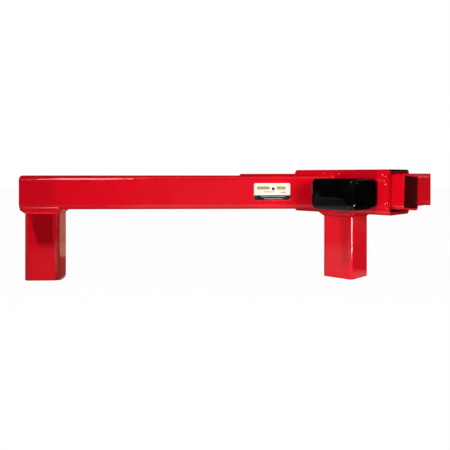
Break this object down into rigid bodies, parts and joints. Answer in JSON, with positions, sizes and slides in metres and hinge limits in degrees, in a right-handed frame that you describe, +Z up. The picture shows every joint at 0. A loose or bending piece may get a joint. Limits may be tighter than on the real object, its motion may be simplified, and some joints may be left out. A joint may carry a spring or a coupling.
{
  "type": "pallet fork attachment",
  "caption": "Welded square-tube beam with stub legs that straddle fork tines, and an angled sleeve holding a clamped sliding tube, with a black bumper cap.",
  "frame": {"origin": "middle of the span between the two legs, on the underside of the main beam where the fork tines bear, on the beam centreline", "axes": "+X along the main beam towards the angled sleeve, +Y away from the labelled front face, +Z up"},
  "size_m": [0.9558, 0.4185, 0.2468],
  "materials": {
    "red_paint": "glossy red powder coat over welded steel tube",
    "red_paint_slider": "glossy red powder coat, lightly rubbed along the corners",
    "black_cap": "glossy black moulded cap",
    "label": "plain printed vinyl, no lettering",
    "plated_steel": "zinc plated"
  },
  "bodies": {
    "frame": {"main_beam": "red_paint", "beam_end_plate": "red_paint", "left_leg": "red_paint", "right_leg": "red_paint", "sleeve_tube": "red_paint", "front_stub_tube": "red_paint", "bumper_cap": "black_cap", "rear_stub_tube": "red_paint", "rear_stub_end_plate": "red_paint", "lock_nut": "plated_steel", "label_plate": "label", "left_leg_weld": "red_paint", "right_leg_weld": "red_paint", "beam_to_sleeve_weld": "red_paint", "front_stub_weld": "red_paint", "rear_stub_weld": "red_paint", "lock_nut_weld": "red_paint"},
    "slider": {"slider_tube": "red_paint_slider"},
    "pad": {"lock_pad": "plated_steel"},
    "screw": {"lock_screw": "plated_steel"},
    "handle": {"lock_handle_bar": "plated_steel"}
  },
  "joints": [
    {"name": "slider_travel", "type": "slide", "parent": "frame", "child": "slider", "axis": [0.7071, -0.7071, 0], "range_m": [-0.026, 0.19]},
    {"name": "lock_pad_feed", "type": "slide", "parent": "frame", "child": "pad", "axis": [0.7071, 0.7071, 0], "range_m": [0, 0.004]},
    {"name": "lock_screw_turn", "type": "hinge", "parent": "pad", "child": "screw", "pos_m": [0.35083, 0.06647, 0.0403], "axis": [0.7071, 0.7071, 0], "range_deg": [0, 720]},
    {"name": "lock_handle_slide", "type": "slide", "parent": "screw", "child": "handle", "axis": [0.7071, -0.7071, 0], "range_m": [-0.039, 0.039]}
  ],
  "couplings": [
    {"joint": "lock_pad_feed", "follows": "lock_screw_turn", "m_per_rad": 0.00031831}
  ]
}
